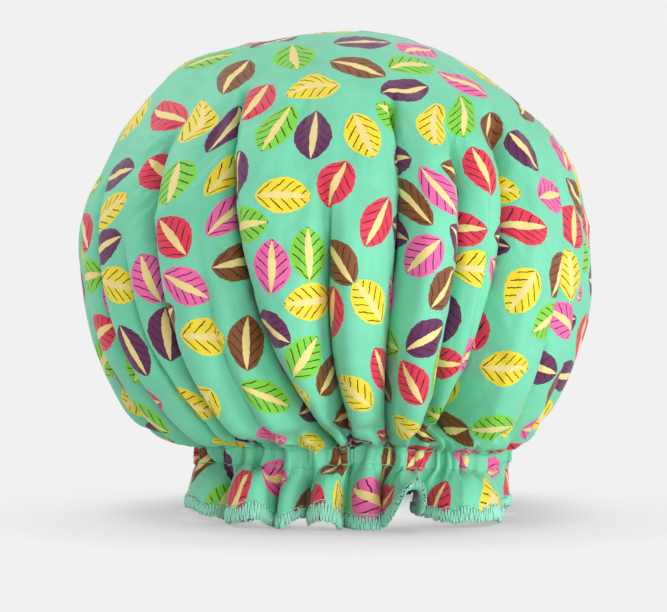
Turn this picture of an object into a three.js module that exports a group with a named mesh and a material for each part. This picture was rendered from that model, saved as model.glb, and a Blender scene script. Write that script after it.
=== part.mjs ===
// A lined shower cap standing on its ruffle: a round of printed fabric over a waterproof film,
// drawn in by a flat elastic that runs in a stitched channel, with an overlocked edge.
// Millimetres, +Z up. The origin is on the floor, below the middle of the cap, and the front faces -Y.
import * as THREE from 'three';

// Crown, measured over the crests of the folds
const CROWN_WIDTH = 228;
const CAP_HEIGHT = 217;
const WIDEST_HEIGHT = 113;
const CROWN_FULLNESS = 0.55; // reach of the crown curve's handles above the widest height
const SHOULDER_FULLNESS = 0.55; // the same below it
const SHOULDER_REACH = 28; // how far the crown's underside runs out from the neck before it turns up
const SHOULDER_ANGLE = 15; // degrees that it climbs as it leaves the neck
const CROWN_LEAN = 8.5; // how far the crown hangs to the left of the neck

// Where the crown is fuller, or flatter: directions from its middle and spreads in degrees, with the rise
const SWELLS = [
  { azimuth: -90, elevation: 53, spread: 22, rise: 5 },
  { azimuth: 90, elevation: 34, spread: 20, rise: 3 },
  { azimuth: -90, elevation: 76, spread: 20, rise: -2 },
  { azimuth: 90, elevation: -35, spread: 25, rise: -2.5 },
];

// Neck and ruffle
const NECK_HEIGHT = 24.5; // middle of the elastic above the floor
const NECK_MARGIN = 0.6; // from a stitch row to where the cloth turns out above or below it
const HEM_WIDTH = 154; // over the crests of the ruffle
const HEM_UPRIGHT = 7; // height of the ruffle's upright lower part

// Cloth layers and thread
const FABRIC_THICKNESS = 0.8;
const FILM_THICKNESS = 0.6;
const THREAD_DIAMETER = 0.6;
const THREAD_SIDES = 6;
const CLEARANCE = 0.3; // between neighbouring pieces

// Elastic
const ELASTIC_DIAMETER = 129; // relaxed, outside its single thickness
const ELASTIC_WIDTH = 6;
const ELASTIC_THICKNESS = 1.2;
const ELASTIC_LAP = 16; // length of the overlapped ends, at the back
const LAP_RAMP = 14; // length over which the outer end climbs over the inner one
const ELASTIC_STEPS = 90;

// Stitching
const CHANNEL_MARGIN = 1.5; // from the elastic's edge to the stitch row beside it
const OVERLOCK_WIDTH = 5; // height of the overlocked band
const OVERLOCK_THICKNESS = 0.8; // of the looper threads that lie on the cloth
const LAP_STITCH_INSET = 1.6; // from the edges of the lap to the box of stitches that holds it
const LAP_STITCH_STEPS = 48;
const LAP_STITCH_GAP = 0.04; // share of the box that is left open between the thread's two ends

// Gathers: each one is a broad lobe between two narrow valleys, from the crown down to the hem.
const FRONT_VALLEYS = [-81, -66.5, -43, -19, -0.7, 17.6, 28.7, 47.4, 60.9, 73]; // degrees from the front
const BACK_GATHERS = 9; // from the last of those valleys, round the back, to the first
const LOBE_START = 0.25; // where a lobe leaves its valley, as a share of the gather
const HANG = 0.003; // how far the folds at the sides sag towards the front, in radians for each mm down
const FOLD_START = 20; // how far below the top of the crown the valleys begin
const FOLD_FULL = 18; // how far below the widest height they have their full depth
const CROWN_FOLD = 9;
const NECK_FOLD = 3.5;
const HEM_FOLD = 16;
const UNEVEN_SPACING = 0.2; // share of a gather by which the valleys at the back wander
const UNEVEN_DEPTH = 0.4; // share of the depth that the shallowest valley lacks
const SPACING_TURN = 2.4; // radians by which the wandering runs on from one valley to the next
const DEPTH_TURN = 2.1; // the same for the depths
const DEPTH_PHASE = 2.5; // where the depths begin, at the first valley in front

const FABRIC = { color: 0x6fd3b0, roughness: 0.75, metalness: 0 };
const FILM = { color: 0xdfeee8, roughness: 0.35, metalness: 0 };
const ELASTIC = { color: 0xf4f2ec, roughness: 0.85, metalness: 0 };
const THREAD = { color: 0x9fe3cf, roughness: 0.6, metalness: 0 };

// Heights that the layers share
const elasticTop = NECK_HEIGHT + ELASTIC_WIDTH / 2;
const elasticBottom = NECK_HEIGHT - ELASTIC_WIDTH / 2;
const channelTop = elasticTop + CHANNEL_MARGIN;
const channelBottom = elasticBottom - CHANNEL_MARGIN;
const neckTop = channelTop + NECK_MARGIN;
const neckBottom = channelBottom - NECK_MARGIN;
const clothEdge = OVERLOCK_THICKNESS + CLEARANCE;
const foldTop = CAP_HEIGHT - FOLD_START;
const foldFull = WIDEST_HEIGHT - FOLD_FULL;

// Radii of the channel, from the elastic out to the crests of the gathered fabric
const elasticInner = ELASTIC_DIAMETER / 2 - ELASTIC_THICKNESS;
const lapStep = ELASTIC_THICKNESS + CLEARANCE;
const lapOuter = elasticInner + ELASTIC_THICKNESS + lapStep;
const lapStitchRadius = lapOuter + CLEARANCE + THREAD_DIAMETER / 2;
const channelOuter = lapStitchRadius + THREAD_DIAMETER / 2 + CLEARANCE;
const neckRadius = channelOuter + FABRIC_THICKNESS + NECK_FOLD;

// How far each layer lies inside the fabric's outer face
const fabricInset = FABRIC_THICKNESS;
const liningInset = fabricInset + CLEARANCE;
const filmInset = liningInset + FILM_THICKNESS;

// Angles of the valleys, one turn from the first in front
function valleyAngles() {
  const first = FRONT_VALLEYS[0];
  const last = FRONT_VALLEYS[FRONT_VALLEYS.length - 1];
  const round = 360 + first - last;
  const degrees = [...FRONT_VALLEYS];
  for (let k = 1; k < BACK_GATHERS; k++) {
    const place = k + UNEVEN_SPACING * Math.sin(SPACING_TURN * k);
    degrees.push(last + (round * place) / BACK_GATHERS);
  }
  return degrees.map((angle) => THREE.MathUtils.degToRad(angle));
}

// One turn of angles from the front, each with its share of a fold: 0 on a lobe, up to 1 in a valley.
function gatherColumns() {
  const valleys = valleyAngles();
  const columns = [];
  valleys.forEach((start, k) => {
    const end = k + 1 < valleys.length ? valleys[k + 1] : valleys[0] + 2 * Math.PI;
    const angle = (share) => start + share * (end - start);
    const depth = 1 - UNEVEN_DEPTH * (0.5 + 0.5 * Math.cos(DEPTH_TURN * k + DEPTH_PHASE));
    columns.push({ angle: angle(0), fold: depth });
    columns.push({ angle: angle(LOBE_START), fold: 0 });
    columns.push({ angle: angle(1 - LOBE_START), fold: 0 });
  });
  return columns;
}

// A point of a section: its radius and height, the way its cloth faces, how deep its valleys are,
// and the height on the cap that its sag and lean are taken from, which every layer shares.
function sectionPoint(radius, height, facing, valley, level = height) {
  return { radius, height, facing, valley, level };
}

// The same point on a layer that lies further in, or further out where inset is negative.
// The top of the crown stays on the axis on every layer.
function shifted(point, inset) {
  const radius = point.radius > 0 ? point.radius - inset * point.facing.x : 0;
  const height = point.height - inset * point.facing.y;
  return sectionPoint(radius, height, point.facing, point.valley, point.level);
}

const crownMiddle = new THREE.Vector3(0, 0, WIDEST_HEIGHT);

// A direction from the middle of the crown, with its azimuth taken from the front
function outward(azimuth, elevation) {
  const polar = THREE.MathUtils.degToRad(90 - elevation);
  const turn = THREE.MathUtils.degToRad(azimuth);
  const flat = Math.sin(polar);
  return new THREE.Vector3(flat * Math.sin(turn), -flat * Math.cos(turn), Math.cos(polar));
}

// Moves a point out from the middle of the crown by the swells that it lies in
function swelled(point) {
  const direction = point.clone().sub(crownMiddle).normalize();
  let rise = 0;
  for (const swell of SWELLS) {
    const away = THREE.MathUtils.radToDeg(direction.angleTo(outward(swell.azimuth, swell.elevation)));
    rise += swell.rise * Math.exp(-((away / swell.spread) ** 2));
  }
  return point.addScaledVector(direction, rise);
}

// A section's point at an angle round the cap, with the cloth's sag, lean and swell
function placed({ radius, height, level }, angle) {
  const below = Math.min(WIDEST_HEIGHT - level, WIDEST_HEIGHT - neckTop);
  const turn = angle - HANG * below * Math.sin(angle);
  const lean = CROWN_LEAN * THREE.MathUtils.smoothstep(below, 0, WIDEST_HEIGHT - neckTop);
  const point = new THREE.Vector3(lean + radius * Math.sin(turn), -radius * Math.cos(turn), height);
  return level > neckTop + CLEARANCE + THREAD_DIAMETER ? swelled(point) : point;
}

// Turns a section round the axis and presses the valleys of the gathers into it. Each facet's diagonal
// runs from the valley above to the lobe below, on every layer alike, so that the layers stay apart.
function gathered(section) {
  const columns = gatherColumns();
  const rows = section.length;
  const position = [];
  const index = [];
  columns.forEach(({ angle, fold }, turn) => {
    for (const point of section) {
      position.push(...placed(shifted(point, fold * point.valley), angle));
    }
    const nextTurn = (turn + 1) % columns.length;
    for (let row = 0; row + 1 < rows; row++) {
      const a = turn * rows + row;
      const b = nextTurn * rows + row;
      const c = b + 1;
      const d = a + 1;
      const rising = section[row + 1].height > section[row].height;
      const leftIsValley = fold > 0;
      const [first, second] = rising === leftIsValley
        ? [[a, b, d], [b, c, d]]
        : [[a, b, c], [a, c, d]];
      if (section[row].radius > 0) index.push(...first);
      if (section[row + 1].radius > 0) index.push(...second);
    }
  });
  const geometry = new THREE.BufferGeometry();
  geometry.setAttribute('position', new THREE.Float32BufferAttribute(position, 3));
  geometry.setIndex(index);
  geometry.computeVertexNormals();
  return geometry;
}

const OUTWARD = new THREE.Vector2(1, 0);

// The crown from its top down to the neck, as points on two curves
function crownPoints() {
  const half = CROWN_WIDTH / 2;
  const rise = CAP_HEIGHT - WIDEST_HEIGHT;
  const drop = WIDEST_HEIGHT - neckTop;
  const slope = THREE.MathUtils.degToRad(SHOULDER_ANGLE);
  const top = new THREE.CubicBezierCurve(
    new THREE.Vector2(0, CAP_HEIGHT),
    new THREE.Vector2(half * CROWN_FULLNESS, CAP_HEIGHT),
    new THREE.Vector2(half, WIDEST_HEIGHT + rise * CROWN_FULLNESS),
    new THREE.Vector2(half, WIDEST_HEIGHT),
  );
  const underside = new THREE.CubicBezierCurve(
    new THREE.Vector2(half, WIDEST_HEIGHT),
    new THREE.Vector2(half, WIDEST_HEIGHT - drop * SHOULDER_FULLNESS),
    new THREE.Vector2(
      neckRadius + SHOULDER_REACH * Math.cos(slope),
      neckTop + SHOULDER_REACH * Math.sin(slope),
    ),
    new THREE.Vector2(neckRadius, neckTop),
  );
  const onCurve = (curve, share) => {
    const { x, y } = curve.getPoint(share);
    const along = curve.getTangent(share);
    const facing = new THREE.Vector2(-along.y, along.x);
    const valley = CROWN_FOLD * THREE.MathUtils.smoothstep(-y, -foldTop, -foldFull);
    return sectionPoint(x, y, facing, valley);
  };
  const topShares = [0, 0.2, 0.4, 0.6, 0.8, 1];
  const undersideShares = [0.33, 0.66];
  return [
    ...topShares.map((share) => onCurve(top, share)),
    ...undersideShares.map((share) => onCurve(underside, share)),
  ];
}

// The neck and the ruffle are upright cloth.
const neckPoint = (height) => sectionPoint(neckRadius, height, OUTWARD, NECK_FOLD);
const hemPoint = (height) => sectionPoint(HEM_WIDTH / 2, height, OUTWARD, HEM_FOLD);

// A closed layer of cloth between two faces, each listed from the top of the crown to the edge
function clothLayer(outerFace, innerFace) {
  return gathered([...innerFace, ...outerFace.reverse()]);
}

// The printed fabric: one round, from the top of the crown to the cut edge of the ruffle
function outerFabric() {
  const line = [
    ...crownPoints(),
    neckPoint(neckTop),
    neckPoint(neckBottom),
    hemPoint(HEM_UPRIGHT),
    hemPoint(clothEdge),
  ];
  return clothLayer(line, line.map((point) => shifted(point, fabricInset)));
}

// The film follows the fabric, and leaves it between the stitch rows to pass inside the elastic.
function waterproofLining() {
  const behindElastic = (height) =>
    sectionPoint(elasticInner - CLEARANCE + liningInset, height, OUTWARD, 0);
  const line = [
    ...crownPoints(),
    neckPoint(neckTop),
    behindElastic(elasticTop + CLEARANCE),
    behindElastic(elasticBottom - CLEARANCE),
    neckPoint(neckBottom),
    hemPoint(HEM_UPRIGHT),
    hemPoint(clothEdge),
  ];
  const face = (inset) => line.map((point) => shifted(point, inset));
  return clothLayer(face(liningInset), face(filmInset));
}

// A thread that follows the gathers round the cap, lying the given distance inside the fabric's outer face
function threadRound(point, inset) {
  const centre = shifted(point, inset);
  const section = [];
  for (let side = 0; side <= THREAD_SIDES; side++) {
    const turn = ((side % THREAD_SIDES) * 2 * Math.PI) / THREAD_SIDES;
    const radius = centre.radius + (THREAD_DIAMETER / 2) * Math.cos(turn);
    const height = centre.height + (THREAD_DIAMETER / 2) * Math.sin(turn);
    section.push(sectionPoint(radius, height, centre.facing, centre.valley, centre.level));
  }
  return gathered(section);
}

// The needle threads show outside, and the bobbin threads lie inside, just past the channel.
const needleInset = -(CLEARANCE + THREAD_DIAMETER / 2);
const bobbinInset = filmInset + 2 * CLEARANCE + THREAD_DIAMETER / 2;
const bobbinPast = (CLEARANCE + THREAD_DIAMETER) / 2;

// The looper threads wrap the cut edges of both layers, and the cap stands on them.
function overlockEdging() {
  const outerGap = -CLEARANCE;
  const innerGap = filmInset + CLEARANCE;
  const corner = (inset, height) => shifted(hemPoint(height), inset);
  const section = [
    corner(outerGap - OVERLOCK_THICKNESS, 0),
    corner(outerGap - OVERLOCK_THICKNESS, OVERLOCK_WIDTH),
    corner(outerGap, OVERLOCK_WIDTH),
    corner(outerGap, OVERLOCK_THICKNESS),
    corner(innerGap, OVERLOCK_THICKNESS),
    corner(innerGap, OVERLOCK_WIDTH),
    corner(innerGap + OVERLOCK_THICKNESS, OVERLOCK_WIDTH),
    corner(innerGap + OVERLOCK_THICKNESS, 0),
  ];
  return gathered([...section, section[0]]);
}

// A point on a round wall inside the channel; the angle is measured from the back.
function onWall(radius, angle, height) {
  return new THREE.Vector3(CROWN_LEAN - radius * Math.sin(angle), radius * Math.cos(angle), height);
}

// The middle of the elastic: once round, and on over its own start
class ElasticPath extends THREE.Curve {
  getPoint(share, target = new THREE.Vector3()) {
    const middle = elasticInner + ELASTIC_THICKNESS / 2;
    const lap = ELASTIC_LAP / middle;
    const ramp = LAP_RAMP / middle;
    const turned = share * (2 * Math.PI + lap);
    const climb = THREE.MathUtils.smoothstep(turned, 2 * Math.PI - ramp, 2 * Math.PI);
    return target.copy(onWall(middle + climb * lapStep, turned - lap / 2, NECK_HEIGHT));
  }
}

function elasticBand() {
  const section = new THREE.Shape();
  section.moveTo(-ELASTIC_WIDTH / 2, -ELASTIC_THICKNESS / 2);
  section.lineTo(ELASTIC_WIDTH / 2, -ELASTIC_THICKNESS / 2);
  section.lineTo(ELASTIC_WIDTH / 2, ELASTIC_THICKNESS / 2);
  section.lineTo(-ELASTIC_WIDTH / 2, ELASTIC_THICKNESS / 2);
  section.closePath();
  return new THREE.ExtrudeGeometry(section, { steps: ELASTIC_STEPS, extrudePath: new ElasticPath() });
}

// The thread that closes the lap: a rounded box of stitches on the elastic's outer face
class LapStitchPath extends THREE.Curve {
  getPoint(share, target = new THREE.Vector3()) {
    const halfLength = ELASTIC_LAP / 2 - LAP_STITCH_INSET;
    const halfHeight = ELASTIC_WIDTH / 2 - LAP_STITCH_INSET;
    const turn = 2 * Math.PI * share * (1 - LAP_STITCH_GAP);
    const squared = (value) => Math.sign(value) * Math.sqrt(Math.abs(value));
    const along = halfLength * squared(Math.cos(turn));
    const up = halfHeight * squared(Math.sin(turn));
    return target.copy(onWall(lapStitchRadius, along / lapStitchRadius, NECK_HEIGHT + up));
  }
}

function elasticLapStitch() {
  const section = new THREE.Shape();
  section.absarc(0, 0, THREAD_DIAMETER / 2, 0, 2 * Math.PI);
  return new THREE.ExtrudeGeometry(section, {
    steps: LAP_STITCH_STEPS,
    curveSegments: THREAD_SIDES,
    extrudePath: new LapStitchPath(),
  });
}

const cap = new THREE.Group();

function add(name, geometry, look) {
  const mesh = new THREE.Mesh(geometry, new THREE.MeshStandardMaterial(look));
  mesh.name = name;
  cap.add(mesh);
}

const overlockNeedleHeight = OVERLOCK_WIDTH + CLEARANCE + THREAD_DIAMETER / 2;

add('outer_fabric', outerFabric(), FABRIC);
add('waterproof_lining', waterproofLining(), FILM);
add('elastic_band', elasticBand(), ELASTIC);
add('elastic_lap_stitch', elasticLapStitch(), THREAD);
add('channel_needle_thread_upper', threadRound(neckPoint(channelTop), needleInset), THREAD);
add('channel_needle_thread_lower', threadRound(neckPoint(channelBottom), needleInset), THREAD);
add('channel_bobbin_thread_upper', threadRound(neckPoint(neckTop + bobbinPast), bobbinInset), THREAD);
add('channel_bobbin_thread_lower', threadRound(neckPoint(neckBottom - bobbinPast), bobbinInset), THREAD);
add('overlock_edging', overlockEdging(), THREAD);
add('overlock_needle_thread', threadRound(hemPoint(overlockNeedleHeight), needleInset), THREAD);

// The origin lies below the middle of the whole cap.
const middle = new THREE.Box3().setFromObject(cap).getCenter(new THREE.Vector3());
cap.position.set(-middle.x, -middle.y, 0);

export default cap;
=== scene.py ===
# Shower cap of gathered fabric over a film lining; millimetres until a mesh is made in metres
import math

import bpy
import numpy as np
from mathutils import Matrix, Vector


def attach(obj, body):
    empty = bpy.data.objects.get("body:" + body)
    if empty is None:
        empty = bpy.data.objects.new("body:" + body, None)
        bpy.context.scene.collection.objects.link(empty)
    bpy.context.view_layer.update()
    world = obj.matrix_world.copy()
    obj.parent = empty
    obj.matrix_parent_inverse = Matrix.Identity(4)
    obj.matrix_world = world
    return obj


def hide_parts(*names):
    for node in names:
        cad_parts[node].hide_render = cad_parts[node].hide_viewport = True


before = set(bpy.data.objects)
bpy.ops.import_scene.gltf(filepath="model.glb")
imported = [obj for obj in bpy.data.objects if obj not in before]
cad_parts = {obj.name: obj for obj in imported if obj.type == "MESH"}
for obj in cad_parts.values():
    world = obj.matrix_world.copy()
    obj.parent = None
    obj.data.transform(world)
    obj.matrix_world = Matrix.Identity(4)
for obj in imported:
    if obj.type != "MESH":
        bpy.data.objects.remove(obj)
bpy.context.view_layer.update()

MM = 0.001
TAU = 2 * math.pi
TINY = 1e-9
FAR_OFF = 1e9
SEED = 5

# The puffed cap's profile over its crests, with the crown's and the neck's middles
CROWN_RADIUS = 114.0
CAP_HEIGHT = 217.0
WIDEST_HEIGHT = 113.0
CROWN_FULL = 0.55
SHOULDER_FULL = 0.55
SHOULDER_REACH = 24.0
SHOULDER_RISE = 9.0
NECK_RADIUS = 72.0
NECK_TOP = 30.0
UPPER_ROW = 29.0
LOWER_ROW = 21.5
RUFFLE_LENGTH = 23.5
CROWN_X = 0.0
NECK_X = 8.5
NECK_AXIS = np.array([NECK_X, 0])
CURVE_POINTS = 200

# Cloth grid: arc length between rings, and columns in each zone of arc length from the top
RING_STEP = 4.0
ZONES = [(10, 24), (20, 48), (42, 96), (90, 192), (1000, 384)]
FINE_COLUMNS = 768
FINE_STEP = 2.4


def bezier(p0, p1, p2, p3):
    t = np.linspace(0, 1, CURVE_POINTS)[:, None]
    p0, p1, p2, p3 = map(np.array, (p0, p1, p2, p3))
    return (1 - t) ** 3 * p0 + 3 * t * (1 - t) ** 2 * p1 + 3 * t * t * (1 - t) * p2 + t ** 3 * p3


def smooth(x):
    x = np.clip(x, 0, 1)
    return x * x * (3 - 2 * x)


# Grows smoothly from 0 at the start to 1 at the end of a run
def grown(value, start, run):
    return smooth((value - start) / run)


# A sum of steps that starts at 0
def running(steps):
    return np.concatenate([[0], np.cumsum(steps)])


# Falls from 1 in the middle to nearly 0 at twice the spread
def bell(away, spread):
    return np.exp(-(away / spread) ** 2)


# Places round an upright axis, from their radii and azimuths
def around(radius, angle):
    return np.stack([radius * np.sin(angle), -radius * np.cos(angle)], -1)


def azimuths(places):
    return np.arctan2(places[..., 0], -places[..., 1])


def unit(vectors):
    return vectors / np.maximum(np.linalg.norm(vectors, axis=-1, keepdims=True), TINY)


def profile():
    rise = CAP_HEIGHT - WIDEST_HEIGHT
    drop = WIDEST_HEIGHT - NECK_TOP
    widest = (CROWN_RADIUS, WIDEST_HEIGHT)
    top = bezier((0, CAP_HEIGHT), (CROWN_RADIUS * CROWN_FULL, CAP_HEIGHT),
                 (CROWN_RADIUS, WIDEST_HEIGHT + rise * CROWN_FULL), widest)
    under = bezier(widest, (CROWN_RADIUS, WIDEST_HEIGHT - drop * SHOULDER_FULL),
                   (NECK_RADIUS + SHOULDER_REACH, NECK_TOP + SHOULDER_RISE), (NECK_RADIUS, NECK_TOP))
    neck = np.array([(NECK_RADIUS, LOWER_ROW), (NECK_RADIUS, LOWER_ROW - RUFFLE_LENGTH)])
    points = np.vstack([top, under[1:], neck])
    return points, running(np.hypot(*np.diff(points, axis=0).T))


PROFILE, ARC = profile()
CROWN_END = 2 * CURVE_POINTS - 1
TOTAL = float(ARC[-1])
S_WIDEST = float(ARC[CURVE_POINTS - 1])
S_UPPER = float(ARC[CROWN_END - 1]) + NECK_TOP - UPPER_ROW
S_LOWER = float(ARC[CROWN_END])

# The most that the cloth is gathered, as an arc from the top and a ratio, and where the folds begin
FULLNESS = [(0, 1.25), (120, 1.33), (S_WIDEST, 1.45), (215, 1.72), (S_UPPER - 25, 2.0), (S_UPPER, 1.5),
            (S_LOWER, 1.5), (S_LOWER + 12, 2.2), (TOTAL, 2.5)]
FOLDS_BEGIN = (50, 60)


def on_profile(s):
    return np.interp(s, ARC, PROFILE[:, 0]), np.interp(s, ARC, PROFILE[:, 1])


# How many times longer the cloth of a ring is than the ring that it fills
def fullness(s):
    r, _ = on_profile(s)
    flat = s / np.maximum(r, TINY)
    full = np.maximum(np.minimum(flat, np.interp(s, *zip(*FULLNESS))), 1.0)
    return 1 + (full - 1) * grown(s, *FOLDS_BEGIN)


# Points round a ring, as azimuths from the viewer, positive to the right
FINE = 8192
PHI = np.linspace(0, TAU, FINE, endpoint=False)


def wrapped(angle):
    return (angle + math.pi) % TAU - math.pi


# Main valleys in front: azimuth in degrees, depth, width in radians, and how far each leans to the left
FRONT_VALLEYS = [
    (-81, 1.0, 0.05, 0.5),
    (-66.5, 0.9, 0.05, 0.5),
    (-43, 1.3, 0.065, 0.65),
    (-19, 1.6, 0.07, 0.7),
    (-0.7, 1.1, 0.05, 0.5),
    (17.6, 1.6, 0.07, 0.7),
    (28.7, 1.5, 0.065, -0.7),
    (47.4, 1.7, 0.075, 0.7),
    (64, 0.6, 0.05, -0.4),
    (78, 0.8, 0.05, -0.5),
]

# The valley that runs highest: its azimuth, the arc where it starts and its drift
HIGH_VALLEY = -19
HIGH_START = 62
HIGH_DRIFT = 0.0028

# The other valleys: azimuths, spacing, and the ranges that the rest of their shape is drawn from
LESSER_VALLEYS = [-54, -30.3, 38]
LESSER_SHIFT = 4
BACK_GATHERS = 9
UNEVEN_SPACING = 0.2
SPACING_TURN = 2.4
MAIN_START = (65, 105)
LESSER_START = (85, 130)
MAIN_DEPTH = 1.35
UNEVEN_DEPTH = 0.4
DEPTH_TURN = 2.1
DEPTH_PHASE = 2.5
LESSER_DEPTH = (0.45, 0.8)
MAIN_WIDTH = (0.04, 0.065)
LESSER_WIDTH = (0.035, 0.05)
VALLEY_LEAN = (0.3, 0.7)
LEAN_CHANGE = 0.1
HANG = 0.003


# Each gather's valley: azimuth, arc where it starts, depth, width, which side is steep, and sideways drift
def valleys(rng):
    front = [valley[0] for valley in FRONT_VALLEYS]
    first, last = front[0], front[-1]
    back = np.arange(1, BACK_GATHERS)
    place = (back + UNEVEN_SPACING * np.sin(SPACING_TURN * back)) / BACK_GATHERS
    behind = (last + (360 + first - last) * place).tolist()
    edges = [last] + behind + [360 + first]
    between = [0.5 * (a + b) + rng.uniform(-LESSER_SHIFT, LESSER_SHIFT) for a, b in zip(edges, edges[1:])]
    rows = []
    for k, degrees in enumerate(front + behind + LESSER_VALLEYS + between):
        angle = wrapped(math.radians(degrees))
        is_main = k < len(front) + len(behind)
        start = rng.uniform(*(MAIN_START if is_main else LESSER_START))
        depth = rng.uniform(*LESSER_DEPTH)
        if is_main:
            depth = MAIN_DEPTH * (1 - UNEVEN_DEPTH * (0.5 + 0.5 * math.cos(DEPTH_TURN * k + DEPTH_PHASE)))
        width = rng.uniform(*(MAIN_WIDTH if is_main else LESSER_WIDTH))
        lean = rng.uniform(*VALLEY_LEAN) * (1 if angle < LEAN_CHANGE else -1)
        drift = -HANG * math.sin(angle)
        if k < len(front):
            depth, width, lean = FRONT_VALLEYS[k][1:]
        if degrees == HIGH_VALLEY:
            start, drift = HIGH_START, HIGH_DRIFT
        rows.append((angle, start, depth, width, lean, drift))
    return rows


# Ripples of the crown's upper half: their counts round the ring, heights, depth, and where they come and go
RIPPLE_COUNTS = range(7, 30)
RIPPLE_HEIGHTS = (0.3, 1)
RIPPLE_DEPTH = 0.22
RIPPLE_RISE = (50, 40)
RIPPLE_FALL = (120, 60)
VALLEY_RUN = 70
VALLEY_SHARPNESS = 1.5


def ripples(rng):
    wave = np.zeros(FINE)
    for k in RIPPLE_COUNTS:
        wave += rng.uniform(*RIPPLE_HEIGHTS) * np.cos(k * PHI + rng.uniform(0, TAU))
    wave -= wave.min()
    return wave / wave.max()


def crown_wave(s, z, rows, ripple):
    wave = RIPPLE_DEPTH * ripple * grown(s, *RIPPLE_RISE) * (1 - grown(s, *RIPPLE_FALL))
    for angle, start, depth, width, lean, drift in rows:
        d = wrapped(PHI - angle - drift * (WIDEST_HEIGHT - z))
        w = width * np.where(d < 0, 1 + lean, 1 - lean)
        wave = wave + depth * grown(s, start, VALLEY_RUN) / (1 + (d / w) ** 2) ** VALLEY_SHARPNESS
    return wave


# Puckers' depths, and the least share of its depth that a narrow one keeps
PUCKER_DEPTHS = (0.65, 1.0)
NARROW_SHARE = 0.4


# A wave of uneven steps round the ring: near 1 in the valleys, 0 on the crests
def uneven_wave(rng, count, spread):
    steps = rng.uniform(1 - spread, 1 + spread, count)
    edges = running(steps)
    edges = edges / edges[-1] * TAU
    depth = rng.uniform(*PUCKER_DEPTHS, count + 1)
    depth[-1] = depth[0]
    k = np.clip(np.searchsorted(edges, PHI, side="right") - 1, 0, count - 1)
    d = (PHI - edges[k]) / (edges[k + 1] - edges[k])
    fall = 0.5 + 0.5 * np.cos(TAU * d)
    width = NARROW_SHARE + (1 - NARROW_SHARE) * steps[k] / steps.max()
    return fall * np.where(d < 0.5, depth[k], depth[k + 1]) * width


# Ruffle in front: each flute's start on the neck, and its hem as azimuths and radii about the neck
FRONT_FLUTES = [
    (-106, [(-105, 57), (-104, 70), (-98, 75), (-88, 75), (-82, 71)]),
    (-80, [(-81, 57), (-81, 68), (-75, 77), (-63, 79), (-54, 76)]),
    (-54, [(-47, 58), (-47, 72), (-44, 82), (-37, 86), (-30, 84), (-27, 75)]),
    (-30, [(-28, 58), (-27, 74), (-24, 84), (-19, 80), (-17, 70)]),
    (-16, [(-18, 58), (-16, 73), (-13, 83), (-8, 85), (-4, 80)]),
    (0, [(-4, 63), (-1, 76), (4, 82), (9, 80)]),
    (13, [(11, 57), (9, 73), (9, 85), (14, 92), (20, 89), (22, 77)]),
    (30, [(26, 57), (29, 76), (36, 86), (47, 86), (58, 77), (67, 73), (70, 66)]),
    (66, [(66, 57), (72, 66), (80, 71), (88, 71), (90, 65)]),
    (87, [(89, 57), (92, 66), (99, 71), (107, 71), (111, 64)]),
    (110, [(111, 56), (113, 66), (120, 73), (129, 73), (133, 65)]),
]
FRONT_END = 133

# Ruffle behind: its flutes' widths, radii and leans, and the shares of a width where a crest turns
FLUTE_GAP = (13, 22)
FOLD_RADIUS = (54, 62)
CREST_RADIUS = (76, 88)
FLUTE_LEAN = 0.35
CREST_FROM = 0.2
CREST_TO = 0.7
CREST_BACK = 0.9


def back_flutes(rng):
    flutes = []
    start = FRONT_END
    while start < FRONT_FLUTES[0][0] + 360 - FLUTE_GAP[0]:
        gap = rng.uniform(*FLUTE_GAP)
        fold = rng.uniform(*FOLD_RADIUS)
        crest = rng.uniform(*CREST_RADIUS)
        lean = gap * rng.uniform(-FLUTE_LEAN, FLUTE_LEAN)
        half = 0.5 * (fold + crest)
        path = [(start, fold), (start + lean, half)]
        for share, radius in ((CREST_FROM, crest), (CREST_TO, crest), (CREST_BACK, half)):
            path.append((start + share * gap + lean, radius))
        flutes.append((start, path))
        start += gap
    return flutes


# Evens out values round each ring over a spread in radians
def evened(values, spread):
    count = values.shape[-1]
    turns = np.fft.rfftfreq(count, 1 / count)
    return np.fft.irfft(np.fft.rfft(values) * np.exp(-0.5 * (turns * spread) ** 2), count)


# The hem: how round its bends are, the cloth it takes, how early flutes open and how high it stands
HEM_SPREAD = 0.022
HEM_SPARE = 2.5
FLUTE_ONSET = 2.0
LEAST_DROP = 0.2
FLOOR_GAP = 0.5
LIFT_KEPT = 0.4

# Where the hem is lifted off the floor: azimuth about the neck and spread in degrees, and rise
HEM_LIFTS = [(-75, 18, 5.0), (-18, 3, 4.5), (24, 6, 6.0), (80, 14, 4.0)]


# The hem round the neck: how far each of its points is turned from the neck's own azimuth, and its radius
def hem_line(rng):
    flutes = FRONT_FLUTES + back_flutes(rng)
    start, path = flutes[0]
    flutes = flutes + [(start + 360, [(path[0][0] + 360, path[0][1])])]
    neck, azimuth, radius = [], [], []
    for (start, path), (end, after) in zip(flutes, flutes[1:]):
        a = np.radians([p[0] for p in path] + [after[0][0]])
        r = np.array([p[1] for p in path] + [after[0][1]], dtype=float)
        steps = np.hypot(np.diff(r * np.sin(a)), np.diff(r * np.cos(a)))
        share = running(steps) / steps.sum()
        neck += np.radians(start + (end - start) * share[:-1]).tolist()
        azimuth += a[:-1].tolist()
        radius += r[:-1].tolist()
    neck.append(neck[0] + TAU)
    azimuth.append(azimuth[0] + TAU)
    radius.append(radius[0])
    turned = (PHI - neck[0]) % TAU + neck[0]
    turn = np.interp(turned, neck, azimuth) - turned
    return evened(turn, HEM_SPREAD), evened(np.interp(turned, neck, radius), HEM_SPREAD)


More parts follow.
